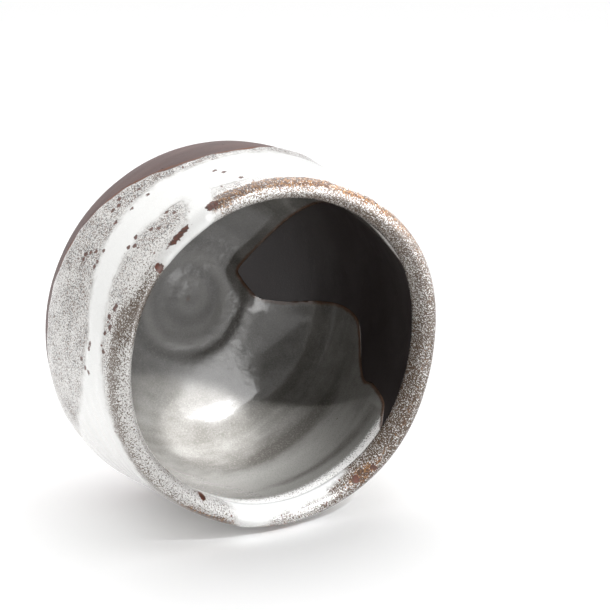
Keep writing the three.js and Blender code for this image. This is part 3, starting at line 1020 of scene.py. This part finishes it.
def studio_world(stage):
    """White all round for the camera. For the bowl's own light and reflections, a white sweep behind it
    and a dim room on the camera's side."""
    world = bpy.data.worlds.new("studio")
    world.use_nodes = True
    tree = world.node_tree
    shine = tree.nodes["Background"]

    def math_node(operation, a, b):
        made = tree.nodes.new("ShaderNodeMath")
        made.operation = operation
        for socket, value in ((0, a), (1, b)):
            if isinstance(value, bpy.types.NodeSocket):
                tree.links.new(value, made.inputs[socket])
            else:
                made.inputs[socket].default_value = value
        return made.outputs[0]

    def toward(direction):
        """How far a ray points along a direction, from -1 to 1."""
        dot = tree.nodes.new("ShaderNodeVectorMath")
        dot.operation = "DOT_PRODUCT"
        dot.inputs[1].default_value = direction
        tree.links.new(tree.nodes.new("ShaderNodeTexCoord").outputs["Generated"], dot.inputs[0])
        return dot.outputs["Value"]

    def ease(value, low, high, first, last):
        made = tree.nodes.new("ShaderNodeMapRange")
        made.interpolation_type = "SMOOTHSTEP"
        tree.links.new(value, made.inputs[0])
        for socket, number in zip((1, 2, 3, 4), (low, high, first, last)):
            made.inputs[socket].default_value = number
        return made.outputs[0]

    behind = ease(toward(-stage.toward), *ROOM_BEHIND)
    above = ease(toward(stage.up), *ROOM_ABOVE)
    room = math_node("ADD", behind, above)
    seen = tree.nodes.new("ShaderNodeLightPath").outputs["Is Camera Ray"]
    hidden = math_node("MULTIPLY", math_node("SUBTRACT", 1.0, seen), room)
    tree.links.new(math_node("ADD", seen, hidden), shine.inputs["Strength"])
    shine.inputs["Color"].default_value = (1, 1, 1, 1)
    bpy.context.scene.world = world


class BOWL_OT_stage(PieceOperator, bpy.types.Operator):
    """Set the pale floor that the bowl lies on, the camera and the soft lights"""
    bl_idname = "matcha_bowl.stage"
    bl_label = "Stage"

    def execute(self, context):
        settings = context.scene.matcha_bowl_stage
        stage = Stage(settings)
        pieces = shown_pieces()
        if not pieces:
            self.report({"ERROR"}, "build the bowl's pieces before the stage")
            raise RuntimeError("the stage needs the bowl's pieces")
        lowest = min(min(stage.up.dot(v.co) for v in piece.data.vertices) for piece in pieces)
        half = settings.floor_size / 2
        base = stage.middle + stage.up * (lowest - stage.up.dot(stage.middle))
        corners = [base + stage.right * x + stage.toward * y for x, y in ((-half, -half), (half, -half),
                                                                        (half, half), (-half, half))]
        floor = new_object("floor", corners, [(0, 1, 2, 3)])
        if floor.data.polygons[0].normal.dot(stage.up) < 0:
            floor.data.flip_normals()
        floor.data.materials.append(floor_finish(settings.floor_tone))
        floor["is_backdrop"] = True

        camera = bpy.data.objects.new("camera", bpy.data.cameras.new("camera"))
        context.scene.collection.objects.link(camera)
        up = stage.back.cross(stage.up.cross(stage.back).normalized())
        right = up.cross(stage.back)
        place = stage.middle + right * settings.aim_right + up * settings.aim_up + stage.back * settings.reach
        camera.matrix_world = facing(place, stage.back, up)
        camera.data.lens, camera.data.sensor_width = settings.lens, FILM_WIDTH
        camera.data.clip_start, camera.data.clip_end = NEAREST, FARTHEST
        context.scene.camera = camera

        for name, bearing, height, distance, width, tall, brightness in LIGHTS:
            data = bpy.data.lights.new(name, "AREA")
            data.shape = "RECTANGLE"
            data.size, data.size_y = width, tall
            data.energy = brightness * math.pi * width * tall
            light = bpy.data.objects.new(name, data)
            context.scene.collection.objects.link(light)
            away = stage.direction(bearing, height)
            light.matrix_world = facing(stage.middle + away * distance, away, stage.up)
        for name, bearing, lean, distance, brightness, corners in PANELS:
            out = stage.direction(bearing, 0)
            across = stage.direction(bearing + 90, 0)
            up_panel = stage.up * math.cos(math.radians(lean)) + out * math.sin(math.radians(lean))
            foot = base + out * distance
            panel = new_object(name, [foot + across * u + up_panel * v for u, v in corners],
                               [tuple(range(len(corners)))])
            if panel.data.polygons[0].normal.dot(out) > 0:
                panel.data.flip_normals()
            panel.data.materials.append(panel_finish(name, brightness))
            panel.visible_camera = False
            panel.visible_diffuse = False
            panel.visible_shadow = False
            panel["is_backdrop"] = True
        for name, bearing, height, distance, target, cone, soft, radius, power, square in LAMPS:
            data = bpy.data.lights.new(name, "SPOT")
            data.spot_size, data.spot_blend = math.radians(cone), soft
            data.shadow_soft_size, data.energy, data.use_square = radius, power, square
            data.color = LAMP_COLOUR
            lamp = bpy.data.objects.new(name, data)
            context.scene.collection.objects.link(lamp)
            away = stage.direction(bearing, height)
            aim = Vector(wall.place(np.array([float(target[0])]), np.array([float(target[1])]))[0])
            lamp.matrix_world = facing(aim + away * distance, away, stage.up)
        studio_world(stage)
        context.scene.view_settings.view_transform = "Standard"
        return {"FINISHED"}


class BOWL_PT_workshop(bpy.types.Panel):
    """Lists the bowl's pieces and the stage"""
    bl_idname = "BOWL_PT_workshop"
    bl_label = "Matcha Bowl"
    bl_space_type = "VIEW_3D"
    bl_region_type = "UI"
    bl_category = "Matcha Bowl"

    def draw(self, context):
        for step in STEPS:
            self.layout.operator(step.bl_idname)
        for settings in (context.scene.matcha_bowl, context.scene.matcha_bowl_stage):
            box = self.layout.box()
            for name in settings.__annotations__:
                box.prop(settings, name)


STEPS = (BOWL_OT_clay_body, BOWL_OT_foot_ring, BOWL_OT_inner_glaze, BOWL_OT_outer_glaze, BOWL_OT_white_pour,
         BOWL_OT_stage)
CLASSES = (BowlSettings, StageSettings, *STEPS, BOWL_PT_workshop)


def register():
    for each in CLASSES:
        bpy.utils.register_class(each)
    bpy.types.Scene.matcha_bowl = PointerProperty(type=BowlSettings)
    bpy.types.Scene.matcha_bowl_stage = PointerProperty(type=StageSettings)


def unregister():
    del bpy.types.Scene.matcha_bowl_stage
    del bpy.types.Scene.matcha_bowl
    for each in reversed(CLASSES):
        bpy.utils.unregister_class(each)


def main():
    register()
    for step in STEPS:
        group, name = step.bl_idname.split(".")
        getattr(getattr(bpy.ops, group), name)()


if __name__ == "__main__":
    main()
